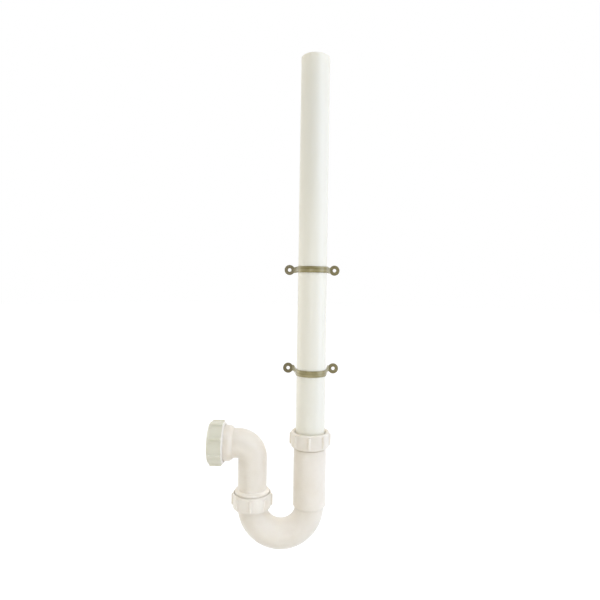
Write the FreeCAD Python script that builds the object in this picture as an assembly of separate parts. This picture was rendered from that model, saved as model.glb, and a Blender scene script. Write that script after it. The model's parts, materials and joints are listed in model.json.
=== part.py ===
"""Washing machine standpipe trap: a tubular P trap with a swivel outlet elbow and a clipped standpipe.

Millimetres. The origin is on the wall, midway between the four screw holes of the two pipe clips.
+Z is up, +Y points into the wall, and the outlet points along -X.
"""

import FreeCAD
import Part
import math
import os

from FreeCAD import Vector

# Fixing to the wall
WALL_STANDOFF = 35.0  # wall face to the plane of the pipe axes
CLIP_SPACING = 152.6  # upper clip to lower clip
SCREW_SPACING = 70.0  # screw hole to screw hole across one clip
SCREW_HOLE = 5.5  # diameter

# Pipe clip: a bent strap with a round eye at each end
STRAP_WIDTH = 9.2
STRAP_THICKNESS = 1.2
STRAP_CROWN = 0.35  # how far the middle of the strap's outer face stands proud of its edges
CLIP_GRIP_GAP = 0.1  # strap to pipe
CLIP_FOOT_SPREAD = 53.0  # between the two bends where the legs meet the wall plane
CLIP_BEND_RADIUS = 2.0  # at mid thickness
EYE_DIAMETER = 15.8

# Standpipe
PIPE_DIAMETER = 43.0
PIPE_WALL = 1.9
PIPE_RISE = 315.8  # upper clip to the open top
PIPE_INSERTION = 50.0  # depth inside the trap's inlet leg
PIPE_EDGE = 0.5  # deburred edge at each end

# Trap and elbow tube
TRAP_BORE = 38.8
TRAP_WALL = 2.0
LOWER_CLIP_HEIGHT = 88.1  # over the top of the standpipe nut
LEG_SPACING = 85.2  # inlet leg axis to short leg axis
INLET_LEG_WALL = 2.45
INLET_LEG_LENGTH = 103.4  # mouth of the inlet leg to the start of the U bend
LEG_GROOVE_DEPTH = 0.8  # in the leg's wall, under the nut
LEG_GROOVE_WIDTH = 3.0
SHOULDER_LEAD = 2.0  # start of the inlet leg's shoulder above the U bend
SHOULDER_HEIGHT = 6.0
STOP_CONE = 4.2  # height of the inner cone that stops the standpipe
SPIGOT_LENGTH = 20.0  # short leg above the U bend
SPIGOT_EDGE = 1.0  # lead-in at the spigot's end, on the radius
SPIGOT_LEAD = 2.0  # its length
SPIGOT_GAP = 1.0  # spigot's end to the stop inside the elbow's socket

# Elbow
ELBOW_BEND_RADIUS = 22.0  # at the tube's axis
OUTLET_RISE = 91.1  # start of the U bend to the axis of the outlet
OUTLET_REACH = 64.8  # short leg axis to the outer face of the outlet nut
SWIVEL_COLLAR_LENGTH = 17.2  # mouth to shoulder
SWIVEL_RING = 2.4  # plain ring between the thread and the shoulder
SWIVEL_RING_STEP = 0.7  # how far the ring stands out over the root of the thread
SWIVEL_SHOULDER = 3.3
SWIVEL_SHOULDER_BOW = 0.2  # how far it bows out from its chord towards its corner, as a share
OUTLET_COLLAR_LENGTH = 21.3
OUTLET_RING = 6.0
OUTLET_RING_STEP = 1.0
OUTLET_SHOULDER = 8.2
OUTLET_SHOULDER_BOW = 0.35
SOCKET_STOP_CONE = 3.0

# Compression joints: threaded mouth, wedge seal, slip washer and ribbed nut
SOCKET_CLEARANCE = 0.25  # tube to the socket's bore, on the radius
COLLAR_WALL = 4.25  # bore of the widest socket to the crest of the thread
THREAD_DEPTH = 1.0  # crest to root
INLET_COLLAR_LENGTH = 12.3
COLLAR_RUNOUT = 1.5
COLLAR_EDGE = 0.5
SEAT_WIDTH = 1.9  # how far the seal's seat opens out at the mouth, on the radius
SEAT_DEPTH = 4.0
SEAL_FLANGE = 3.0
SEAL_CLEARANCE = 0.2
SEAL_TIP = 0.6  # thickness of the wedge's tip
SLIP_WASHER_THICKNESS = 1.2
SLIP_WASHER_CLEARANCE = 0.6
RIM_CLEARANCE = 0.5  # seal and slip washer to the nut's bore

# Nuts
THREAD_CLEARANCE = 0.2
NUT_HEIGHT = 22.0
NUT_WALL = 1.8
OUTLET_NUT_HEIGHT = 23.2
OUTLET_NUT_WALL = 4.3
NUT_BEVEL_SHARE = 0.45  # outer bevel at each end, as a share of the wall
NUT_LEAD_SHARE = 0.3  # lead-in to the thread, as a share of the wall
NUT_LIP = 3.0
NUT_LIP_GAP = 1.4  # tube to the hole in the nut's lip
NUT_FUNNEL = 1.9  # how far the hole opens out at the nut's outer face, on the radius
NUT_FUNNEL_DEPTH = 2.2
RIB_COUNT = 8
RIB_HEIGHT = 2.7
RIB_WIDTH = 3.8  # above the flare at its root
RIB_FLARE_HEIGHT = 0.8
RIB_FLARE_WIDTH = 1.3  # on each side
RIB_FLARE_BOW = 0.25  # as a share, as for the shoulders
RIB_CREST_WIDTH = 2.5
RIB_CREST_RISE = 0.55  # of the rounded crest over its own edges
RIB_BITE = 1.0  # how deep a rib is rooted in the nut's wall
RIB_SETBACK = 2.2  # nut's ends to the rib's ends
RIB_END_SLOPE = 1.2
STANDPIPE_NUT_TURN = -4.0  # degrees that one rib stands off the front, to its seat's own +X
SWIVEL_NUT_TURN = -0.5
OUTLET_NUT_TURN = 26.0

# Radii and levels that follow from the sizes above
PIPE_RADIUS = PIPE_DIAMETER / 2
PIPE_BORE_RADIUS = PIPE_RADIUS - PIPE_WALL
TRAP_BORE_RADIUS = TRAP_BORE / 2
TRAP_RADIUS = TRAP_BORE_RADIUS + TRAP_WALL
THREAD_CREST_RADIUS = max(PIPE_RADIUS, TRAP_RADIUS) + SOCKET_CLEARANCE + COLLAR_WALL
THREAD_ROOT_RADIUS = THREAD_CREST_RADIUS - THREAD_DEPTH
NUT_BORE_RADIUS = THREAD_CREST_RADIUS + THREAD_CLEARANCE
BEND_RADIUS = LEG_SPACING / 2
INLET_BORE_RADIUS = PIPE_RADIUS + SOCKET_CLEARANCE
INLET_LEG_RADIUS = INLET_BORE_RADIUS + INLET_LEG_WALL
SWIVEL_BORE_RADIUS = TRAP_RADIUS + SOCKET_CLEARANCE
OUTLET_BORE_RADIUS = PIPE_RADIUS + SOCKET_CLEARANCE
NUT_STACK = SEAL_FLANGE + SLIP_WASHER_THICKNESS + NUT_LIP  # mouth of a socket to the nut's outer face

AXIS_Y = -WALL_STANDOFF
SHORT_LEG_X = -LEG_SPACING
UPPER_CLIP_Z = CLIP_SPACING / 2
LOWER_CLIP_Z = -CLIP_SPACING / 2
PIPE_TOP_Z = UPPER_CLIP_Z + PIPE_RISE
INLET_MOUTH_Z = LOWER_CLIP_Z - LOWER_CLIP_HEIGHT - NUT_STACK
PIPE_FOOT_Z = INLET_MOUTH_Z - PIPE_INSERTION
BEND_Z = INLET_MOUTH_Z - INLET_LEG_LENGTH
SPIGOT_TOP_Z = BEND_Z + SPIGOT_LENGTH
SWIVEL_MOUTH_Z = BEND_Z + SEAL_FLANGE + SLIP_WASHER_THICKNESS
OUTLET_Z = BEND_Z + OUTLET_RISE
OUTLET_MOUTH_X = SHORT_LEG_X - OUTLET_REACH + NUT_STACK

# Seats: a point and the tilt about +Y that takes +Z to the way the seat faces
UP = Vector(0, 0, 1)
TO_WALL = Vector(0, 1, 0)
FACING_UP = 0
FACING_DOWN = 180
FACING_LEFT = -90
INLET_MOUTH = (Vector(0, AXIS_Y, INLET_MOUTH_Z), FACING_UP)
SWIVEL_MOUTH = (Vector(SHORT_LEG_X, AXIS_Y, SWIVEL_MOUTH_Z), FACING_DOWN)
OUTLET_MOUTH = (Vector(OUTLET_MOUTH_X, AXIS_Y, OUTLET_Z), FACING_LEFT)


def turned(profile):
    """A solid turned about +Z from (radius, height) points."""
    points = [Vector(radius, 0, height) for radius, height in profile]
    face = Part.Face(Part.makePolygon(points + points[:1]))
    return face.revolve(Vector(), UP, 360)


def placed(shape, seat):
    """The shape moved from its own frame to a seat, with its -Y still to the front."""
    origin, tilt = seat
    moved = FreeCAD.Placement(origin, FreeCAD.Rotation(TO_WALL, tilt))
    shape.Placement = moved.multiply(shape.Placement)
    return shape


def rod_along(path, radius):
    """A round rod swept along a chain of edges."""
    start = path[0].valueAt(path[0].FirstParameter)
    tangent = path[0].tangentAt(path[0].FirstParameter)
    disc = Part.Face(Part.Wire(Part.makeCircle(radius, start, tangent)))
    return Part.Wire(path).makePipe(disc)


def line(start, end):
    return Part.LineSegment(start, end).toShape()


def arc(start, middle, end):
    return Part.Arc(start, middle, end).toShape()


def rounded(start, corner, end, bow):
    """An arc from start to end that bows out from its chord by a share of the way to the corner."""
    chord_middle = (start + end) / 2
    return arc(start, chord_middle + (corner - chord_middle) * bow, end)


def mirrored(point):
    """The point on the other side of the plane x = 0."""
    return Vector(-point.x, point.y, point.z)


def standpipe():
    """A plain tube, open at both ends, with its edges taken off."""
    length = PIPE_TOP_Z - PIPE_FOOT_Z
    tube = turned([
        (PIPE_BORE_RADIUS, 0),
        (PIPE_RADIUS - PIPE_EDGE, 0),
        (PIPE_RADIUS, PIPE_EDGE),
        (PIPE_RADIUS, length - PIPE_EDGE),
        (PIPE_RADIUS - PIPE_EDGE, length),
        (PIPE_BORE_RADIUS, length),
    ])
    return placed(tube, (Vector(0, AXIS_Y, PIPE_FOOT_Z), FACING_UP))


def socket_bore(bore_radius, depth, stop_cone):
    """What is hollow in a socket: the seal's seat, the bore and the cone that stops the tube.

    The mouth is at height 0 and the hollow goes down from it.
    """
    above = SEAT_DEPTH
    return turned([
        (0, above),
        (bore_radius + SEAT_WIDTH, above),
        (bore_radius + SEAT_WIDTH, 0),
        (bore_radius, -SEAT_DEPTH),
        (bore_radius, -depth),
        (TRAP_BORE_RADIUS, -depth - stop_cone),
        (0, -depth - stop_cone),
    ])


def trap_body():
    """The U bend, moulded with its long inlet leg and the plain spigot of its short leg."""
    collar_foot = -INLET_COLLAR_LENGTH
    groove_start = collar_foot - COLLAR_RUNOUT
    groove_end = groove_start - LEG_GROOVE_WIDTH
    groove_radius = INLET_LEG_RADIUS - LEG_GROOVE_DEPTH
    shoulder = SHOULDER_LEAD - INLET_LEG_LENGTH
    inside_wall = TRAP_RADIUS - TRAP_WALL / 2
    leg = placed(turned([
        (0, 0),
        (THREAD_ROOT_RADIUS - COLLAR_EDGE, 0),
        (THREAD_ROOT_RADIUS, -COLLAR_EDGE),
        (THREAD_ROOT_RADIUS, collar_foot),
        (groove_radius, groove_start),
        (groove_radius, groove_end),
        (INLET_LEG_RADIUS, groove_end - COLLAR_EDGE),
        (INLET_LEG_RADIUS, shoulder),
        (inside_wall, shoulder - SHOULDER_HEIGHT),
        (0, shoulder - SHOULDER_HEIGHT),
    ]), INLET_MOUTH)
    leg_hollow = placed(
        socket_bore(INLET_BORE_RADIUS, INLET_LEG_LENGTH - STOP_CONE, STOP_CONE), INLET_MOUTH)

    spigot_top = Vector(SHORT_LEG_X, AXIS_Y, SPIGOT_TOP_Z)
    short_leg_foot = Vector(SHORT_LEG_X, AXIS_Y, BEND_Z)
    lowest = Vector(-BEND_RADIUS, AXIS_Y, BEND_Z - BEND_RADIUS)
    inlet_leg_foot = Vector(0, AXIS_Y, BEND_Z)
    path = [line(spigot_top, short_leg_foot), arc(short_leg_foot, lowest, inlet_leg_foot)]
    bend = rod_along(path, TRAP_RADIUS)
    bend_hollow = rod_along(path, TRAP_BORE_RADIUS)
    spigot_cutter = placed(turned([
        (TRAP_RADIUS - SPIGOT_EDGE, 0),
        (TRAP_RADIUS, -SPIGOT_LEAD),
        (TRAP_RADIUS + SPIGOT_EDGE, -SPIGOT_LEAD),
        (TRAP_RADIUS + SPIGOT_EDGE, 0),
    ]), (spigot_top, FACING_UP))
    return leg.fuse(bend).cut(leg_hollow.fuse(bend_hollow)).cut(spigot_cutter)


def threaded_end(length, ring, ring_step, shoulder, bow):
    """The outside of an elbow's socket: a neck for the thread, a plain ring and a rounded shoulder.

    The mouth is at height 0 and the neck goes down from it. The shoulder's foot is inside the tube's wall.
    """
    neck_end = ring - length
    ring_radius = THREAD_ROOT_RADIUS + ring_step
    crown = Vector(ring_radius, 0, -length)
    foot = Vector(TRAP_RADIUS - TRAP_WALL / 2, 0, -length - shoulder)
    corners = [
        foot,
        Vector(0, 0, foot.z),
        Vector(0, 0, 0),
        Vector(THREAD_ROOT_RADIUS - COLLAR_EDGE, 0, 0),
        Vector(THREAD_ROOT_RADIUS, 0, -COLLAR_EDGE),
        Vector(THREAD_ROOT_RADIUS, 0, neck_end),
        Vector(ring_radius - COLLAR_EDGE, 0, neck_end),
        Vector(ring_radius, 0, neck_end - COLLAR_EDGE),
        crown,
    ]
    outline = [line(start, end) for start, end in zip(corners, corners[1:])]
    outline.append(rounded(crown, Vector(crown.x, 0, foot.z), foot, bow))
    return Part.Face(Part.Wire(outline)).revolve(Vector(), UP, 360)


def swivel_elbow():
    """The quarter bend that turns on the short leg, with a threaded socket at each end."""
    bend_foot = Vector(SHORT_LEG_X, AXIS_Y, OUTLET_Z - ELBOW_BEND_RADIUS)
    bend_end = Vector(SHORT_LEG_X - ELBOW_BEND_RADIUS, AXIS_Y, OUTLET_Z)
    diagonal = ELBOW_BEND_RADIUS * math.sqrt(0.5)
    bend_middle = Vector(bend_end.x + diagonal, AXIS_Y, bend_foot.z + diagonal)
    swivel_mouth, _ = SWIVEL_MOUTH
    outlet_mouth, _ = OUTLET_MOUTH
    path = [
        line(swivel_mouth, bend_foot),
        arc(bend_foot, bend_middle, bend_end),
        line(bend_end, outlet_mouth),
    ]
    swivel_end = threaded_end(
        SWIVEL_COLLAR_LENGTH, SWIVEL_RING, SWIVEL_RING_STEP, SWIVEL_SHOULDER, SWIVEL_SHOULDER_BOW)
    outlet_end = threaded_end(
        OUTLET_COLLAR_LENGTH, OUTLET_RING, OUTLET_RING_STEP, OUTLET_SHOULDER, OUTLET_SHOULDER_BOW)
    outside = rod_along(path, TRAP_RADIUS).multiFuse([
        placed(swivel_end, SWIVEL_MOUTH),
        placed(outlet_end, OUTLET_MOUTH),
    ])
    swivel_depth = SPIGOT_TOP_Z - SWIVEL_MOUTH_Z + SPIGOT_GAP
    outlet_depth = OUTLET_COLLAR_LENGTH - SOCKET_STOP_CONE / 2
    inside = rod_along(path, TRAP_BORE_RADIUS).multiFuse([
        placed(socket_bore(SWIVEL_BORE_RADIUS, swivel_depth, SOCKET_STOP_CONE), SWIVEL_MOUTH),
        placed(socket_bore(OUTLET_BORE_RADIUS, outlet_depth, SOCKET_STOP_CONE), OUTLET_MOUTH),
    ])
    return outside.cut(inside)


def wedge_seal(tube_radius, bore_radius):
    """A rubber ring whose wedge fills the seat and whose flange lies under the slip washer."""
    inner = tube_radius + SEAL_CLEARANCE
    flange = NUT_BORE_RADIUS - RIM_CLEARANCE
    seat = bore_radius + SEAT_WIDTH - SEAL_CLEARANCE
    tip_depth = SEAT_DEPTH * (seat - inner - SEAL_TIP) / SEAT_WIDTH
    return turned([
        (inner, SEAL_FLANGE),
        (flange, SEAL_FLANGE),
        (flange, 0),
        (seat, 0),
        (inner + SEAL_TIP, -tip_depth),
        (inner, -tip_depth),
    ])


def slip_washer(tube_radius):
    """A flat ring that lets the nut turn on the seal without dragging it."""
    inner = tube_radius + SLIP_WASHER_CLEARANCE
    outer = NUT_BORE_RADIUS - RIM_CLEARANCE
    top = SEAL_FLANGE + SLIP_WASHER_THICKNESS
    return turned([(inner, SEAL_FLANGE), (outer, SEAL_FLANGE), (outer, top), (inner, top)])


def rib_section(wall_radius):
    """A rib across its length: a flare out of the nut's wall, two flanks and a rounded crest, facing -Y."""
    half_width = RIB_WIDTH / 2
    inner = Vector(half_width + RIB_FLARE_WIDTH, RIB_BITE - wall_radius, 0)
    root = Vector(inner.x, -wall_radius, 0)
    corner = Vector(half_width, -wall_radius, 0)
    flank = Vector(half_width, -wall_radius - RIB_FLARE_HEIGHT, 0)
    crest = Vector(0, -wall_radius - RIB_HEIGHT, 0)
    crest_edge = Vector(RIB_CREST_WIDTH / 2, crest.y + RIB_CREST_RISE, 0)
    return Part.Face(Part.Wire([
        line(inner, root),
        rounded(root, corner, flank, RIB_FLARE_BOW),
        line(flank, crest_edge),
        arc(crest_edge, crest, mirrored(crest_edge)),
        line(mirrored(crest_edge), mirrored(flank)),
        rounded(mirrored(flank), mirrored(corner), mirrored(root), RIB_FLARE_BOW),
        line(mirrored(root), mirrored(inner)),
        line(mirrored(inner), inner),
    ]))


def rib(wall_radius, height):
    """One gripping rib of a nut, facing -Y, with sloping ends."""
    half_width = RIB_WIDTH / 2 + RIB_FLARE_WIDTH
    root = wall_radius - RIB_BITE
    crest = wall_radius + RIB_HEIGHT
    start = RIB_SETBACK
    end = height - RIB_SETBACK
    side = [
        Vector(-half_width, -radius, level) for radius, level in [
            (root, start),
            (wall_radius, start),
            (crest, start + RIB_END_SLOPE),
            (crest, end - RIB_END_SLOPE),
            (wall_radius, end),
            (root, end),
        ]
    ]
    side_bar = Part.Face(Part.makePolygon(side + side[:1])).extrude(Vector(2 * half_width, 0, 0))
    return rib_section(wall_radius).extrude(Vector(0, 0, height)).common(side_bar)


def ribbed_nut(tube_radius, wall, height, turn):
    """A hand nut: a threaded skirt, an inward lip that presses on the slip washer, and gripping ribs."""
    outer = NUT_BORE_RADIUS + wall
    bevel = wall * NUT_BEVEL_SHARE
    lead = wall * NUT_LEAD_SHARE
    hole = tube_radius + NUT_LIP_GAP
    skirt = turned([
        (NUT_BORE_RADIUS + lead, 0),
        (outer - bevel, 0),
        (outer, bevel),
        (outer, height - bevel),
        (outer - bevel, height),
        (hole + NUT_FUNNEL, height),
        (hole, height - NUT_FUNNEL_DEPTH),
        (hole, height - NUT_LIP),
        (NUT_BORE_RADIUS, height - NUT_LIP),
        (NUT_BORE_RADIUS, lead),
    ])
    ribs = []
    for number in range(RIB_COUNT):
        bar = rib(outer, height)
        bar.rotate(Vector(), UP, turn + number * 360 / RIB_COUNT)
        ribs.append(bar)
    nut = skirt.multiFuse(ribs).removeSplitter()
    nut.translate(Vector(0, 0, NUT_STACK - height))
    return nut


def clip_path():
    """The plan of a clip's strap at mid thickness, from the right bend round the pipe to the left bend."""
    wrap = PIPE_RADIUS + CLIP_GRIP_GAP + STRAP_THICKNESS / 2
    eye_y = -STRAP_THICKNESS / 2
    centre = Vector(0, AXIS_Y, 0)
    foot = Vector(CLIP_FOOT_SPREAD / 2, eye_y, 0)
    reach = foot - centre
    tangent_angle = math.atan2(reach.y, reach.x) - math.acos(wrap / reach.Length)
    tangent = centre + Vector(math.cos(tangent_angle), math.sin(tangent_angle), 0) * wrap
    along_leg = (tangent - foot).normalize()
    along_eye = Vector(1, 0, 0)
    half_turn = (math.pi - along_leg.getAngle(along_eye)) / 2
    trim = CLIP_BEND_RADIUS * math.tan(half_turn)
    bend_start = foot + along_eye * trim
    bend_end = foot + along_leg * trim
    inward = (along_leg + along_eye).normalize()
    bend_middle = foot + inward * (CLIP_BEND_RADIUS / math.cos(half_turn) - CLIP_BEND_RADIUS)
    return [
        arc(bend_start, bend_middle, bend_end),
        line(bend_end, tangent),
        arc(tangent, centre - Vector(0, wrap, 0), mirrored(tangent)),
        line(mirrored(tangent), mirrored(bend_end)),
        arc(mirrored(bend_end), mirrored(bend_middle), mirrored(bend_start)),
    ]


def clip_eye(start_x):
    """The right eye: a disc cut off straight at the bend, with its screw hole."""
    front = -STRAP_THICKNESS
    centre = Vector(SCREW_SPACING / 2, front, 0)
    corner = Vector(start_x, front, -EYE_DIAMETER / 2)
    disc = Part.makeCylinder(EYE_DIAMETER / 2, STRAP_THICKNESS, centre, TO_WALL)
    kept = Part.makeBox(EYE_DIAMETER, STRAP_THICKNESS, EYE_DIAMETER, corner)
    hole = Part.makeCylinder(SCREW_HOLE / 2, STRAP_THICKNESS, centre, TO_WALL)
    return disc.common(kept).cut(hole)


def pipe_clip(level):
    """A bent strap that holds the pipe off the wall, with an eye for a screw at each end."""
    path = clip_path()
    start_x = path[0].valueAt(path[0].FirstParameter).x
    half_width = STRAP_WIDTH / 2
    back = 0.0
    front = -STRAP_THICKNESS
    section = Part.Wire([
        line(Vector(start_x, back, -half_width), Vector(start_x, back, half_width)),
        line(Vector(start_x, back, half_width), Vector(start_x, front, half_width)),
        arc(Vector(start_x, front, half_width), Vector(start_x, front - STRAP_CROWN, 0),
            Vector(start_x, front, -half_width)),
        line(Vector(start_x, front, -half_width), Vector(start_x, back, -half_width)),
    ])
    strap = Part.Wire(path).makePipeShell([section], True, False)
    right_eye = clip_eye(start_x)
    left_eye = right_eye.mirror(Vector(), Vector(1, 0, 0))
    clip = strap.multiFuse([right_eye, left_eye])
    clip.translate(Vector(0, 0, level))
    return clip


def parts():
    """Every piece of the assembly, by name."""
    return {
        "standpipe": standpipe(),
        "upper_pipe_clip": pipe_clip(UPPER_CLIP_Z),
        "lower_pipe_clip": pipe_clip(LOWER_CLIP_Z),
        "trap_body": trap_body(),
        "swivel_elbow": swivel_elbow(),
        "standpipe_nut": placed(
            ribbed_nut(PIPE_RADIUS, NUT_WALL, NUT_HEIGHT, STANDPIPE_NUT_TURN), INLET_MOUTH),
        "standpipe_seal": placed(wedge_seal(PIPE_RADIUS, INLET_BORE_RADIUS), INLET_MOUTH),
        "standpipe_slip_washer": placed(slip_washer(PIPE_RADIUS), INLET_MOUTH),
        "swivel_nut": placed(
            ribbed_nut(TRAP_RADIUS, NUT_WALL, NUT_HEIGHT, SWIVEL_NUT_TURN), SWIVEL_MOUTH),
        "swivel_seal": placed(wedge_seal(TRAP_RADIUS, SWIVEL_BORE_RADIUS), SWIVEL_MOUTH),
        "swivel_slip_washer": placed(slip_washer(TRAP_RADIUS), SWIVEL_MOUTH),
        "outlet_nut": placed(
            ribbed_nut(PIPE_RADIUS, OUTLET_NUT_WALL, OUTLET_NUT_HEIGHT, OUTLET_NUT_TURN), OUTLET_MOUTH),
        "outlet_seal": placed(wedge_seal(PIPE_RADIUS, OUTLET_BORE_RADIUS), OUTLET_MOUTH),
        "outlet_slip_washer": placed(slip_washer(PIPE_RADIUS), OUTLET_MOUTH),
    }


def main():
    os.makedirs("parts", exist_ok=True)
    for name, shape in parts().items():
        box = shape.BoundBox
        print(f"{name}: {len(shape.Solids)} solid, valid {shape.isValid()}, {shape.Volume / 1000:.1f} cm3,"
              f" z {box.ZMin:.1f} to {box.ZMax:.1f}")
        shape.exportStep(f"parts/{name}.step")


main()
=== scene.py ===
"""Looks of the washing machine standpipe trap: finishes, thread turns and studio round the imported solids."""

import json
import logging
import math
from dataclasses import dataclass
from enum import Enum
from typing import Any, Optional, Sequence, Union

import bmesh
import bpy
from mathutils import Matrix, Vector

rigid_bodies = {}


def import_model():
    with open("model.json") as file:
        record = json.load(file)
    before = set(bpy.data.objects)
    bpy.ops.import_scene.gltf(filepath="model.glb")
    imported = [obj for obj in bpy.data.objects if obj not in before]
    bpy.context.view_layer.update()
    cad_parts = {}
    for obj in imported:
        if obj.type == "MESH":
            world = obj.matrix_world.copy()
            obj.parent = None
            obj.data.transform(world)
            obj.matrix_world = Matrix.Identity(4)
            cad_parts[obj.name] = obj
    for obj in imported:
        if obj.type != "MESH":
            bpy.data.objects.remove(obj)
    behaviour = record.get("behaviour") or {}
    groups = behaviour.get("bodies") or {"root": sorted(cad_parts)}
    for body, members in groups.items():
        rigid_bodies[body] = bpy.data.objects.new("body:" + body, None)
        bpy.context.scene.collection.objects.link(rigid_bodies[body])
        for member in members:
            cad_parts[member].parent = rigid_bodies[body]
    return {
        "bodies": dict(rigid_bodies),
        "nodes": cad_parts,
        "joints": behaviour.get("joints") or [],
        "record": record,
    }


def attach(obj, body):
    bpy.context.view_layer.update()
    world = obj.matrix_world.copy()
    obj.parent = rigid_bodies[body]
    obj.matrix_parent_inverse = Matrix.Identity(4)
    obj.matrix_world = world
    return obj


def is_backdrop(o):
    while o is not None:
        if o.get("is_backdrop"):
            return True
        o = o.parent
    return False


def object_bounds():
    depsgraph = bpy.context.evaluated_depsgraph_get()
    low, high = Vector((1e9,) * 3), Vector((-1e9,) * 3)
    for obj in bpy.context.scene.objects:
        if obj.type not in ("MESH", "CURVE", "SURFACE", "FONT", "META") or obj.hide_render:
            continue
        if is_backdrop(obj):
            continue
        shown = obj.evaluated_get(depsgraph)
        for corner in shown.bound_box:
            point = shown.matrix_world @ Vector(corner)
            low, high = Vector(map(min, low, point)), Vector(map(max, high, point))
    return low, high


LOG = logging.getLogger("standpipe_trap")
MM = 0.001
AXIS_PLANE = -35.0 * MM
NOISE_MIDDLE = 0.5
WHITE = (1.0, 1.0, 1.0, 1.0)

Colour = tuple[float, float, float]
Triple = tuple[float, float, float]
Range = tuple[float, float]
Socket = bpy.types.NodeSocket


class Body(Enum):
    """The rigid bodies that the pieces ride on."""

    TRAP = "trap"
    OUTLET = "outlet"


class Slot(Enum):
    """The record's material slots."""

    PIPE = "pipe_plastic"
    TRAP = "trap_plastic"
    NUT = "nut_plastic"
    OUTLET_NUT = "outlet_nut_plastic"
    CLIP = "clip_steel"
    SEAL = "seal_rubber"
    WASHER = "washer_plastic"


class Facing(Enum):
    """The way a socket's mouth faces."""

    UP = (0.0, 0.0, 1.0)
    DOWN = (0.0, 0.0, -1.0)
    LEFT = (-1.0, 0.0, 0.0)


class ThreadSide(Enum):
    """Whether a thread stands out from a collar or in from a nut's bore."""

    MALE = 1
    FEMALE = -1


class Axis(Enum):
    """A coordinate of the row frame."""

    X = "X"
    Y = "Y"


class Ray(Enum):
    """A kind of light path, by its output on the Light Path node."""

    CAMERA = "Is Camera Ray"
    GLOSSY = "Is Glossy Ray"
    TRANSMISSION = "Is Transmission Ray"


class Value:
    """A socket that carries a number. Arithmetic on it adds Math nodes."""

    def __init__(self, graph: "ShaderGraph", socket: Socket) -> None:
        """Wraps a socket of the graph."""
        self.graph = graph
        self.socket = socket

    def maths(self, operation: str, *operands: Any) -> "Value":
        """Adds one Math node.

        Args:
            operation: the Math node's operation.
            operands: numbers, sockets or values, in the node's order.

        Returns:
            The node's result.
        """
        node = self.graph.node("ShaderNodeMath", {"operation": operation}, dict(enumerate(operands)))
        return Value(self.graph, node.outputs[0])

    def __add__(self, other: Any) -> "Value":
        """Value plus other."""
        return self.maths("ADD", self, other)

    __radd__ = __add__

    def __sub__(self, other: Any) -> "Value":
        """Value minus other."""
        return self.maths("SUBTRACT", self, other)

    def __rsub__(self, other: Any) -> "Value":
        """Other minus value."""
        return self.maths("SUBTRACT", other, self)

    def __mul__(self, other: Any) -> "Value":
        """Value times other."""
        return self.maths("MULTIPLY", self, other)

    __rmul__ = __mul__

    def __abs__(self) -> "Value":
        """The value without its sign."""
        return self.maths("ABSOLUTE", self)

    def at_most(self, other: Any) -> "Value":
        """The smaller of the value and other."""
        return self.maths("MINIMUM", self, other)

    def at_least(self, other: Any) -> "Value":
        """The larger of the value and other."""
        return self.maths("MAXIMUM", self, other)

    def between(self, low: float, high: float) -> "Value":
        """A smooth step from 0 at low to 1 at high.

        Args:
            low: the value that gives 0.
            high: the value that gives 1; it may be under low for a falling step.

        Returns:
            The step, from 0 to 1.
        """
        settings = {"interpolation_type": "SMOOTHSTEP"}
        ends = (low, high, 0.0, 1.0) if low < high else (high, low, 1.0, 0.0)
        inputs = dict(zip(("Value", "From Min", "From Max", "To Min", "To Max"), (self, *ends)))
        return Value(self.graph, self.graph.node("ShaderNodeMapRange", settings, inputs).outputs[0])


Input = Union[int, float, Sequence[float], Socket, Value]


@dataclass(frozen=True)
class Pattern:
    """Soft noise: features per metre along X, Y and Z, its finer layers and how far it is stirred."""

    scale: Triple
    detail: float = 2.0
    stir: float = 0.0


@dataclass(frozen=True)
class Relief:
    """Fine relief: what a height of 1 stands for, in metres, and how much of its lean is used."""

    depth: float
    strength: float


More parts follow.
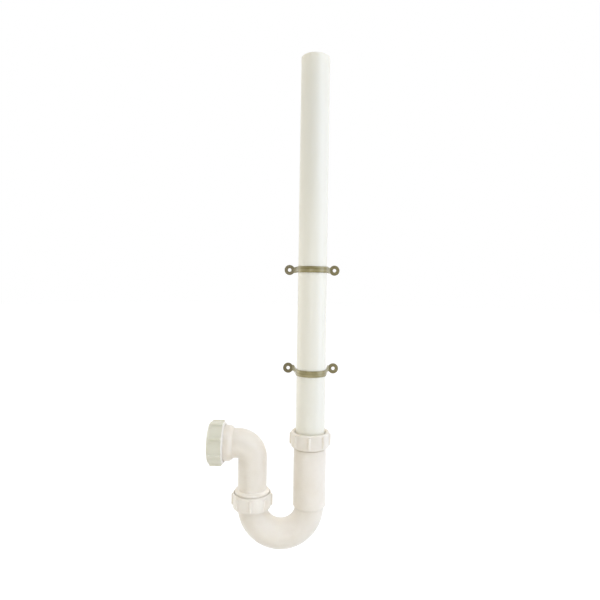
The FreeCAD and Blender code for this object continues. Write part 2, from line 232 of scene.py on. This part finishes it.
class ShaderGraph:
    """A node tree that is built from Python."""

    def __init__(self, tree: bpy.types.NodeTree) -> None:
        """Empties the tree.

        Args:
            tree: the node tree of a material or of the world.
        """
        self.tree = tree
        self.tree.nodes.clear()

    def node(
        self,
        kind: str,
        settings: Optional[dict[str, Any]] = None,
        inputs: Optional[dict[Union[int, str], Input]] = None,
    ) -> bpy.types.Node:
        """Adds a node of any kind.

        Args:
            kind: the node's type.
            settings: properties that are set first.
            inputs: what goes into its sockets, by name or number.

        Returns:
            The node.
        """
        made = self.tree.nodes.new(kind)
        for name, setting in (settings or {}).items():
            setattr(made, name, setting)
        for name, given in (inputs or {}).items():
            source = given.socket if isinstance(given, Value) else given
            if isinstance(source, Socket):
                self.tree.links.new(source, made.inputs[name])
            else:
                made.inputs[name].default_value = source
        return made

    def value(self, kind: str, settings: dict[str, Any], inputs: dict[Any, Input], output: Any = 0) -> Value:
        """Adds a node and wraps one of its outputs.

        Args:
            kind: the node's type.
            settings: properties that are set first.
            inputs: what goes into its sockets.
            output: the output's name or number.

        Returns:
            The output as a value.
        """
        return Value(self, self.node(kind, settings, inputs).outputs[output])

    def mix(self, factor: Input, first: Input, second: Input) -> Socket:
        """Mixes two colours.

        Args:
            factor: 0 for the first and 1 for the second.
            first: a colour or its socket.
            second: a colour or its socket.

        Returns:
            The mixed colour.
        """
        settings = {"data_type": "RGBA", "blend_type": "MIX"}
        sides = [(*side, 1.0) if isinstance(side, tuple) else side for side in (first, second)]
        return self.node("ShaderNodeMix", settings, {0: factor, 6: sides[0], 7: sides[1]}).outputs[2]

    def place(self) -> Socket:
        """The surface point in the row frame, in metres."""
        return self.node("ShaderNodeTexCoord").outputs["Object"]

    def noise(self, pattern: Pattern) -> Value:
        """Soft noise from 0 to 1.

        Args:
            pattern: its size and character.

        Returns:
            The noise.
        """
        sides = {0: self.place(), 1: pattern.scale}
        stretched = self.node("ShaderNodeVectorMath", {"operation": "MULTIPLY"}, sides).outputs[0]
        inputs = {"Vector": stretched, "Scale": 1.0, "Detail": pattern.detail, "Distortion": pattern.stir}
        return self.value("ShaderNodeTexNoise", {}, inputs)

    def axis(self, axis: Axis) -> Value:
        """One coordinate of the surface point, in metres."""
        return self.value("ShaderNodeSeparateXYZ", {}, {0: self.place()}, axis.value)

    def bump(self, height: Value, relief: Relief) -> Socket:
        """A normal that leans with a height.

        Args:
            height: the height, from 0 to 1.
            relief: the depth and strength of the lean.

        Returns:
            The normal.
        """
        inputs = {"Height": height, "Distance": relief.depth, "Strength": relief.strength}
        return self.node("ShaderNodeBump", {}, inputs).outputs[0]


class Finish:
    """A finish that can be put on pieces."""

    slot: Slot

    def shade(self, graph: ShaderGraph) -> dict[str, Input]:
        """What goes into the Principled shader's sockets.

        Args:
            graph: the material's graph.

        Returns:
            Inputs by socket name.
        """
        raise NotImplementedError

    def material(self) -> bpy.types.Material:
        """The finish as a material, made once.

        Returns:
            The material.
        """
        name = f"{self.slot.value}_finish"
        found = bpy.data.materials.get(name)
        if found is not None:
            return found
        made = bpy.data.materials.new(name)
        made.use_nodes = True
        graph = ShaderGraph(made.node_tree)
        shader = graph.node("ShaderNodeBsdfPrincipled", {}, self.shade(graph))
        graph.node("ShaderNodeOutputMaterial", {}, {"Surface": shader.outputs[0]})
        return made

    def dress(self, piece: bpy.types.Object) -> None:
        """Puts the finish on every face of a piece.

        Args:
            piece: a CAD node or an added piece.
        """
        piece.data.materials.clear()
        piece.data.materials.append(self.material())


@dataclass(frozen=True)
class ClearSkin:
    """What is the same all over a plastic: its gloss coat and how far light sinks in."""

    ior: float
    coat: float
    coat_roughness: float
    softness: float
    sink_colour: Colour = (1.0, 0.95, 0.9)
    sink_depth: float = 3.0 * MM

    def inputs(self) -> dict[str, Input]:
        """The skin's part of the Principled shader's inputs.

        Returns:
            Plain numbers by socket name.
        """
        return {
            "IOR": self.ior,
            "Coat Weight": self.coat,
            "Coat Roughness": self.coat_roughness,
            "Subsurface Weight": self.softness,
            "Subsurface Radius": self.sink_colour,
            "Subsurface Scale": self.sink_depth,
        }


@dataclass(frozen=True)
class ExtrudedPlastic(Finish):
    """Drawn tube: faint lines along its length, cloudy patches and a few rubbed marks."""

    slot: Slot
    base: Colour
    cloud_colour: Colour
    roughness: float
    lines: Pattern = Pattern((750.0, 750.0, 5.0), detail=3.0)
    line_tint: float = 0.35
    line_gloss: float = 0.10
    line_relief: Relief = Relief(0.02 * MM, 0.6)
    clouds: Pattern = Pattern((22.0, 22.0, 9.0), stir=0.6)
    cloud_tint: float = 0.5
    rubs: Pattern = Pattern((160.0, 160.0, 70.0), detail=4.0, stir=1.5)
    rub_edges: Range = (0.62, 0.78)
    rub_gloss: float = 0.12
    skin: ClearSkin = ClearSkin(ior=1.5, coat=0.3, coat_roughness=0.28, softness=0.5)

    def shade(self, graph: ShaderGraph) -> dict[str, Input]:
        """Draw lines in colour, gloss and relief; see Finish.shade."""
        lines = graph.noise(self.lines)
        clouds = graph.noise(self.clouds)
        rubs = graph.noise(self.rubs).between(*self.rub_edges)
        tint = (self.cloud_tint * clouds + self.line_tint * lines).at_most(1.0)
        return {
            "Base Color": graph.mix(tint, self.base, self.cloud_colour),
            "Roughness": self.roughness + self.line_gloss * (lines - NOISE_MIDDLE) + self.rub_gloss * rubs,
            "Normal": graph.bump(lines, self.line_relief),
            **self.skin.inputs(),
        }


@dataclass(frozen=True)
class MouldedPlastic(Finish):
    """Moulded fitting: soft flow marks, a fine grain, a parting line and a pale rim that is a painted
    highlight.
    """

    slot: Slot
    base: Colour
    flow_colour: Colour
    roughness: float
    parting_plane: Optional[float] = None
    parting_edges: Range = (0.45 * MM, 0.1 * MM)
    # painted highlight: from this X on, the rim is coloured pale
    rim_highlight_start: Optional[float] = None
    rim_highlight_blend: float = 0.8 * MM
    rim_highlight_colour: Colour = (0.79, 0.74, 0.65)
    flow: Pattern = Pattern((26.0, 26.0, 26.0), detail=3.0, stir=1.8)
    flow_edges: Range = (0.25, 0.8)
    flow_gloss: float = 0.08
    grain: Pattern = Pattern((520.0, 520.0, 520.0))
    grain_gloss: float = 0.10
    grain_height: float = 0.25
    relief: Relief = Relief(0.08 * MM, 0.7)
    skin: ClearSkin = ClearSkin(ior=1.49, coat=0.4, coat_roughness=0.25, softness=0.35)

    def shade(self, graph: ShaderGraph) -> dict[str, Input]:
        """Flow marks, grain, parting line and the rim's painted highlight; see Finish.shade."""
        flow = graph.noise(self.flow)
        grain = graph.noise(self.grain)
        height = self.grain_height * grain
        if self.parting_plane is not None:
            height = height + abs(graph.axis(Axis.Y) - self.parting_plane).between(*self.parting_edges)
        colour = graph.mix(flow.between(*self.flow_edges), self.base, self.flow_colour)
        if self.rim_highlight_start is not None:
            # painted highlight on the rim
            painted_highlight = graph.axis(Axis.X).between(self.rim_highlight_start, self.rim_highlight_start + self.rim_highlight_blend)
            colour = graph.mix(painted_highlight, colour, self.rim_highlight_colour)
        gloss = self.grain_gloss * (grain - NOISE_MIDDLE) + self.flow_gloss * (flow - NOISE_MIDDLE)
        return {
            "Base Color": colour,
            "Roughness": self.roughness + gloss,
            "Normal": graph.bump(height, self.relief),
            **self.skin.inputs(),
        }


@dataclass(frozen=True)
class PlatedSteel(Finish):
    """Lacquered plated strip: streaks along it and speckle; pale legs, a painted highlight, and dark eyes,
    painted shade, the left eye darkest as a painted shadow of the pipe.
    """

    slot: Slot
    base: Colour
    worn: Colour
    # painted shade: the dark colour of the eyes
    eye_shade_colour: Colour
    # painted highlight: the pale colour of the bent legs, standing for their shine
    painted_highlight: Colour
    roughness: float
    leg_edges: Range = (21.5 * MM, 24.0 * MM)
    eye_edges: Range = (27.0 * MM, 29.5 * MM)
    # how much of the painted shade the eyes take, and how fast it grows to the left as a painted shadow of the
    # pipe
    eye_shade_level: float = 0.7
    eye_shadow_slope: float = 7.0
    eye_gloss: float = 0.1
    grain: Pattern = Pattern((40.0, 40.0, 2600.0))
    grain_gloss: float = 0.15
    streaks: Pattern = Pattern((6.0, 6.0, 480.0))
    streak_edges: Range = (0.38, 0.62)
    streak_tint: float = 0.6
    speckle: Pattern = Pattern((900.0, 900.0, 900.0))
    speckle_base: float = 0.3
    speckle_tint: float = 0.2
    speckle_height: float = 0.5
    wear: Pattern = Pattern((130.0, 130.0, 130.0), detail=4.0, stir=1.0)
    wear_edges: Range = (0.5, 0.75)
    wear_tint: float = 0.3
    wear_gloss: float = 0.1
    relief: Relief = Relief(0.03 * MM, 0.5)
    metallic: float = 0.6
    lacquer: float = 0.9
    lacquer_roughness: float = 0.2

    def shade(self, graph: ShaderGraph) -> dict[str, Input]:
        """Streaks, grain, speckle and wear, a painted highlight on the legs and painted shade on the eyes; see
        Finish.shade.
        """
        grain = graph.noise(self.grain)
        streaks = graph.noise(self.streaks).between(*self.streak_edges)
        speckle = graph.noise(self.speckle)
        wear = graph.noise(self.wear).between(*self.wear_edges)
        across = graph.axis(Axis.X)
        eyes = abs(across).between(*self.eye_edges)
        # the legs, where the painted highlight goes
        legs = abs(across).between(*self.leg_edges) * (1.0 - eyes)
        speckled = self.speckle_tint * (speckle - self.speckle_base)
        tint = (self.wear_tint * wear + self.streak_tint * streaks + speckled).at_least(0.0).at_most(1.0)
        strap = graph.mix(legs, graph.mix(tint, self.base, self.worn), self.painted_highlight)
        # painted shade on the eyes, darker on the left as a painted shadow of the pipe
        shaded_eyes = eyes * (self.eye_shade_level - self.eye_shadow_slope * across)
        gloss = self.grain_gloss * (grain - NOISE_MIDDLE) + self.wear_gloss * wear + self.eye_gloss * eyes
        return {
            "Base Color": graph.mix(shaded_eyes, strap, self.eye_shade_colour),
            "Roughness": self.roughness + gloss,
            "Normal": graph.bump(grain + self.speckle_height * speckle, self.relief),
            "Metallic": self.metallic,
            "Coat Weight": self.lacquer,
            "Coat Roughness": self.lacquer_roughness,
        }


@dataclass(frozen=True)
class SealRubber(Finish):
    """Soft rubber with a pale bloom."""

    slot: Slot
    base: Colour
    bloom_colour: Colour
    roughness: float = 0.62
    bloom: Pattern = Pattern((90.0, 90.0, 90.0), detail=4.0, stir=0.8)
    bloom_edges: Range = (0.4, 0.8)
    grain: Pattern = Pattern((1500.0, 1500.0, 1500.0), detail=1.0)
    grain_gloss: float = 0.2
    relief: Relief = Relief(0.05 * MM, 0.5)

    def shade(self, graph: ShaderGraph) -> dict[str, Input]:
        """Bloom and a fine grain; see Finish.shade."""
        bloom = graph.noise(self.bloom).between(*self.bloom_edges)
        grain = graph.noise(self.grain)
        return {
            "Base Color": graph.mix(bloom, self.base, self.bloom_colour),
            "Roughness": self.roughness + self.grain_gloss * (grain - NOISE_MIDDLE),
            "Normal": graph.bump(grain, self.relief),
        }


@dataclass(frozen=True)
class WasherPlastic(Finish):
    """Waxy sheet plastic, cut into rings."""

    slot: Slot
    base: Colour
    cloud_colour: Colour
    roughness: float = 0.42
    clouds: Pattern = Pattern((140.0, 140.0, 140.0), detail=3.0, stir=0.5)
    marks: Pattern = Pattern((700.0, 700.0, 120.0))
    mark_gloss: float = 0.15
    relief: Relief = Relief(0.03 * MM, 0.5)

    def shade(self, graph: ShaderGraph) -> dict[str, Input]:
        """Cloudy wax and cutter marks; see Finish.shade."""
        marks = graph.noise(self.marks)
        return {
            "Base Color": graph.mix(graph.noise(self.clouds), self.base, self.cloud_colour),
            "Roughness": self.roughness + self.mark_gloss * (marks - NOISE_MIDDLE),
            "Normal": graph.bump(marks, self.relief),
        }


PIPE_FINISH = ExtrudedPlastic(
    Slot.PIPE, base=(0.84, 0.80, 0.675), cloud_colour=(0.80, 0.76, 0.625), roughness=0.40,
)
TRAP_FINISH = MouldedPlastic(
    Slot.TRAP, base=(0.80, 0.73, 0.61), flow_colour=(0.77, 0.695, 0.565), roughness=0.34,
    parting_plane=AXIS_PLANE,
)
NUT_FINISH = MouldedPlastic(
    Slot.NUT, base=(0.805, 0.74, 0.625), flow_colour=(0.775, 0.705, 0.58), roughness=0.36,
)
# the outlet nut's rim gets the painted highlight
OUTLET_NUT_FINISH = MouldedPlastic(
    Slot.OUTLET_NUT, base=(0.70, 0.67, 0.525), flow_colour=(0.665, 0.63, 0.48), roughness=0.38,
    rim_highlight_start=-129.4 * MM,
)
# the dark eye colour is painted shade and the pale leg colour is a painted highlight
CLIP_FINISH = PlatedSteel(
    Slot.CLIP, base=(0.2, 0.161, 0.052), worn=(0.308, 0.268, 0.122), eye_shade_colour=(0.155, 0.126, 0.045),
    painted_highlight=(0.47, 0.43, 0.28), roughness=0.46,
)
SEAL_FINISH = SealRubber(Slot.SEAL, base=(0.035, 0.035, 0.035), bloom_colour=(0.09, 0.088, 0.085))
WASHER_FINISH = WasherPlastic(Slot.WASHER, base=(0.80, 0.79, 0.76), cloud_colour=(0.74, 0.73, 0.69))


def linked(name: str, mesh: bmesh.types.BMesh) -> bpy.types.Object:
    """Turns a mesh under construction into an object of the scene.

    Args:
        name: the object's name.
        mesh: the mesh, which is freed.

    Returns:
        The object.
    """
    data = bpy.data.meshes.new(name)
    mesh.to_mesh(data)
    mesh.free()
    made = bpy.data.objects.new(name, data)
    bpy.context.scene.collection.objects.link(made)
    return made


@dataclass
class ThreadTurns:
    """The helical ridge of a thread, added on a collar or in a nut."""

    name: str
    body: Body
    finish: Finish
    mouth: Vector
    facing: Facing
    side: ThreadSide
    root_radius: float
    depth: float
    start: float
    length: float
    phase: float = 0.0
    pitch: float = 3.2 * MM
    root_share: float = 0.42
    crest_share: float = 0.16
    bite: float = 0.15 * MM
    steps_per_turn: int = 72
    fade_turns: float = 0.35
    least_height: float = 0.02

    def _frame(self) -> tuple[Vector, Vector, Vector]:
        """Two directions across the thread's axis and one along it, into the socket."""
        inward = -Vector(self.facing.value)
        front = Vector((0.0, -1.0, 0.0))
        return inward.cross(front), front, inward

    def _ring(self, turn: float, total: float) -> list[Vector]:
        """One section of the ridge.

        Args:
            turn: turns from the start.
            total: turns in all.

        Returns:
            Four corners, in the row frame.
        """
        across, front, inward = self._frame()
        fade = min(1.0, turn / self.fade_turns, (total - turn) / self.fade_turns)
        angle = 2 * math.pi * (turn + self.phase)
        outward = math.cos(angle) * front + math.sin(angle) * across
        level = self.start + turn * self.pitch
        low = self.root_radius - self.side.value * self.bite
        high = self.root_radius + self.side.value * self.depth * max(fade, self.least_height)
        half_root = self.root_share * self.pitch / 2
        half_crest = self.crest_share * self.pitch / 2
        corners = [(low, -half_root), (high, -half_crest), (high, half_crest), (low, half_root)]
        return [self.mouth + outward * radius + inward * (level + shift) for radius, shift in corners]

    def build(self) -> None:
        """Builds the ridge, dresses it and rides it on its body."""
        total = self.length / self.pitch
        count = max(2, round(total * self.steps_per_turn))
        mesh = bmesh.new()
        rings = []
        for step in range(count + 1):
            corners = self._ring(total * step / count, total)
            rings.append([mesh.verts.new(corner) for corner in corners])
        for ring, following in zip(rings, rings[1:]):
            for number in range(len(ring)):
                after = (number + 1) % len(ring)
                mesh.faces.new((ring[number], ring[after], following[after], following[number]))
        mesh.faces.new(rings[0])
        mesh.faces.new(reversed(rings[-1]))
        bmesh.ops.recalc_face_normals(mesh, faces=mesh.faces)
        piece = linked(self.name, mesh)
        self.finish.dress(piece)
        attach(piece, self.body.value)
        LOG.info("%s: %d faces, %.1f turns", self.name, len(piece.data.polygons), total)


@dataclass
class DressedNodes:
    """CAD nodes that stay as they are and get a finish."""

    frame: dict[str, Any]
    finishes: dict[str, Finish]

    def build(self) -> None:
        """Dresses each node."""
        for name, finish in self.finishes.items():
            node = self.frame["nodes"][name]
            finish.dress(node)
            LOG.info("%s: %s", name, finish.slot.value)


@dataclass
class Standpipe:
    """The drawn pipe and the two clips that hold it off the wall."""

    frame: dict[str, Any]

    def build(self) -> None:
        """Dresses the pipe and its clips."""
        DressedNodes(self.frame, {
            "standpipe": PIPE_FINISH,
            "upper_pipe_clip": CLIP_FINISH,
            "lower_pipe_clip": CLIP_FINISH,
        }).build()


@dataclass
class CompressionJoint:
    """A threaded mouth with its nut, seal and slip washer."""

    frame: dict[str, Any]
    name: str
    body: Body
    facing: Facing
    mouth: Vector
    collar_finish: Finish
    nut_finish: Finish
    thread_length: float
    thread_start: float = 1.0 * MM
    thread_depth: float = 0.95 * MM
    collar_radius: float = 25.0 * MM
    nut_bore_radius: float = 26.2 * MM
    nut_phase: float = 0.5

    def build(self) -> None:
        """Dresses the nut's pieces and adds the turns on the collar and, between them, in the nut."""
        DressedNodes(self.frame, {
            f"{self.name}_nut": self.nut_finish,
            f"{self.name}_seal": SEAL_FINISH,
            f"{self.name}_slip_washer": WASHER_FINISH,
        }).build()
        self._thread("collar", ThreadSide.MALE, self.collar_finish, self.collar_radius, 0.0)
        self._thread("nut", ThreadSide.FEMALE, self.nut_finish, self.nut_bore_radius, self.nut_phase)

    def _thread(self, owner: str, side: ThreadSide, finish: Finish, radius: float, phase: float) -> None:
        """Adds one thread.

        Args:
            owner: the piece that it is cut on.
            side: out from a collar or in from a bore.
            finish: the owner's finish.
            radius: the thread's root.
            phase: where it starts, in turns.
        """
        ThreadTurns(
            name=f"{self.name}_{owner}_thread", body=self.body, finish=finish, mouth=self.mouth,
            facing=self.facing, side=side, root_radius=radius, depth=self.thread_depth,
            start=self.thread_start, length=self.thread_length, phase=phase,
        ).build()


@dataclass
class Trap:
    """The U bend with its inlet leg, and the elbow that turns on its short leg."""

    frame: dict[str, Any]

    def build(self) -> None:
        """Dresses the two mouldings."""
        DressedNodes(self.frame, {"trap_body": TRAP_FINISH, "swivel_elbow": TRAP_FINISH}).build()


@dataclass
class Lamp:
    """One soft box, in metres, watts and degrees; a beam under 180 degrees narrows it."""

    name: str
    place: Vector
    aim: Vector
    width: float
    height: float
    power: float
    colour: Colour
    beam: float = 180.0

    def build(self) -> None:
        """Adds the lamp, turned to its aim."""
        data = bpy.data.lights.new(self.name, "AREA")
        data.shape = "RECTANGLE"
        data.size = self.width
        data.size_y = self.height
        data.energy = self.power
        data.color = self.colour
        data.spread = math.radians(self.beam)
        lamp = bpy.data.objects.new(self.name, data)
        lamp.location = self.place
        lamp.rotation_euler = (self.aim - self.place).to_track_quat("-Z", "Y").to_euler()
        bpy.context.scene.collection.objects.link(lamp)


SIDE_BLUE: Colour = (0.79, 0.95, 1.38)
SKY_BLUE: Colour = (0.84, 0.97, 1.26)
PALE_BLUE: Colour = (0.88, 0.97, 1.15)
WARM_WHITE: Colour = (1.0, 0.98, 0.94)
SOFT_WHITE: Colour = (1.0, 0.985, 0.95)

MIDDLE = Vector((-0.04, AXIS_PLANE, 0.0))
TRAP_MIDDLE = Vector((-0.05, AXIS_PLANE, -0.25))
BEND_MIDDLE = Vector((-0.045, AXIS_PLANE, -0.36))
PIPE_MIDDLE = Vector((0.0, AXIS_PLANE, 0.05))

LAMPS = (
    Lamp("side_key", Vector((1.3, -0.45, 0.1)), MIDDLE, 0.8, 1.3, 4.6, SIDE_BLUE),
    Lamp("high_key", Vector((1.2, -1.3, 1.0)), TRAP_MIDDLE, 1.1, 1.1, 7.1, SKY_BLUE),
    Lamp("overhead", Vector((-0.05, -0.6, 1.3)), TRAP_MIDDLE, 0.7, 0.5, 1.8, SKY_BLUE),
    Lamp("low_fill", Vector((-0.25, -0.8, -0.5)), TRAP_MIDDLE, 0.8, 0.4, 1.2, WARM_WHITE),
    Lamp("bend_fill", Vector((-0.045, -0.7, 0.75)), BEND_MIDDLE, 0.15, 0.15, 0.02, PALE_BLUE, beam=10.0),
    Lamp("pipe_fill", Vector((-0.15, -0.93, 0.05)), PIPE_MIDDLE, 0.5, 0.2, 0.042, SOFT_WHITE, beam=33.0),
    Lamp("left_rim", Vector((-0.75, 0.25, -0.1)), MIDDLE, 0.4, 0.6, 0.8, SOFT_WHITE),
)


@dataclass
class Studio:
    """White floor, soft lamps and the camera at the photograph's angle."""

    lowest: float
    floor_radius: float = 12.0
    floor_sides: int = 96
    floor_drop: float = 0.15
    floor_glow: float = 0.36
    floor_colour: Colour = (0.76, 0.76, 0.76)
    front_level: float = 0.61
    back_level: float = 1.17
    light_edges: Range = (-0.5, 0.5)
    room_level: float = 0.25
    room_edges: Range = (-0.95, -0.25)
    camera_place: Triple = (-0.0185, -0.7666, 0.0547)
    camera_roll: float = -0.89
    camera_lens: float = 29.4
    camera_sensor: float = 36.0
    camera_shift: float = -0.0267
    camera_nearest: float = 0.01

    def build(self) -> None:
        """Builds the whole studio."""
        bpy.context.scene.view_settings.view_transform = "Standard"
        self._world()
        self._floor()
        for lamp in LAMPS:
            lamp.build()
        self._camera()

    def _rays(self, graph: ShaderGraph, first: Ray, *others: Ray) -> Value:
        """1 for rays of the named kinds and 0 for all others.

        Args:
            graph: the graph of a material or of the world.
            first: one kind.
            others: further kinds.

        Returns:
            The switch.
        """
        path = graph.node("ShaderNodeLightPath").outputs
        switch = Value(graph, path[first.value])
        for kind in others:
            switch = switch.at_least(path[kind.value])
        return switch

    def _world(self) -> None:
        """White where it is seen; soft light, stronger from the wall; a dim room in front to mirror."""
        world = bpy.data.worlds.new("studio")
        bpy.context.scene.world = world
        world.use_nodes = True
        graph = ShaderGraph(world.node_tree)
        direction = graph.node("ShaderNodeTexCoord").outputs["Generated"]
        toward_wall = graph.value("ShaderNodeSeparateXYZ", {}, {0: direction}, Axis.Y.value)
        rise = self.back_level - self.front_level
        falling = self.front_level + rise * toward_wall.between(*self.light_edges)
        mirrored = self.room_level + (1.0 - self.room_level) * toward_wall.between(*self.room_edges)
        lighting = falling + (mirrored - falling) * self._rays(graph, Ray.GLOSSY)
        strength = lighting + (1.0 - lighting) * self._rays(graph, Ray.CAMERA, Ray.TRANSMISSION)
        background = graph.node("ShaderNodeBackground", {}, {"Color": WHITE, "Strength": strength})
        graph.node("ShaderNodeOutputWorld", {}, {"Surface": background.outputs[0]})

    def _floor(self) -> None:
        """A wide white floor that keeps the object's shadow."""
        mesh = bmesh.new()
        bmesh.ops.create_circle(mesh, cap_ends=True, segments=self.floor_sides, radius=self.floor_radius)
        floor = linked("floor", mesh)
        floor.location = (MIDDLE.x, MIDDLE.y, self.lowest - self.floor_drop)
        material = bpy.data.materials.new("floor_white")
        material.use_nodes = True
        graph = ShaderGraph(material.node_tree)
        matt = graph.node("ShaderNodeBsdfDiffuse", {}, {"Color": (*self.floor_colour, 1.0)})
        glow_level = self.floor_glow * self._rays(graph, Ray.CAMERA, Ray.GLOSSY, Ray.TRANSMISSION)
        glow = graph.node("ShaderNodeEmission", {}, {"Color": WHITE, "Strength": glow_level})
        both = graph.node("ShaderNodeAddShader", {}, {0: matt.outputs[0], 1: glow.outputs[0]})
        graph.node("ShaderNodeOutputMaterial", {}, {"Surface": both.outputs[0]})
        floor.data.materials.append(material)
        floor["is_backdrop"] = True

    def _camera(self) -> None:
        """A level camera with the photograph's slight roll."""
        data = bpy.data.cameras.new("camera")
        data.lens = self.camera_lens
        data.sensor_width = self.camera_sensor
        data.shift_y = self.camera_shift
        data.clip_start = self.camera_nearest
        data.dof.use_dof = False
        camera = bpy.data.objects.new("camera", data)
        camera.location = self.camera_place
        camera.rotation_euler = (math.pi / 2, math.radians(self.camera_roll), 0.0)
        bpy.context.scene.collection.objects.link(camera)
        bpy.context.scene.camera = camera


def corners_of(box: tuple[Vector, Vector]) -> list[list[float]]:
    """A box as plain lists of numbers."""
    return [list(corner) for corner in box]


def main() -> None:
    """Loads the frame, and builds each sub-assembly and the studio."""
    logging.basicConfig(level=logging.INFO, format="%(name)s: %(message)s")
    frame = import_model()
    cad_box = corners_of(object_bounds())

    Standpipe(frame).build()
    Trap(frame).build()
    CompressionJoint(
        frame, "standpipe", Body.TRAP, Facing.UP, mouth=Vector((0.0, AXIS_PLANE, -171.6 * MM)),
        collar_finish=TRAP_FINISH, nut_finish=NUT_FINISH, thread_length=10.6 * MM,
    ).build()
    CompressionJoint(
        frame, "swivel", Body.OUTLET, Facing.DOWN, mouth=Vector((-85.2 * MM, AXIS_PLANE, -270.8 * MM)),
        collar_finish=TRAP_FINISH, nut_finish=NUT_FINISH, thread_length=12.6 * MM,
    ).build()
    CompressionJoint(
        frame, "outlet", Body.OUTLET, Facing.LEFT, mouth=Vector((-142.8 * MM, AXIS_PLANE, -183.9 * MM)),
        collar_finish=TRAP_FINISH, nut_finish=OUTLET_NUT_FINISH, thread_length=12.2 * MM,
    ).build()
    lowest = cad_box[0][2]
    Studio(lowest).build()


if __name__ == "__main__":
    main()
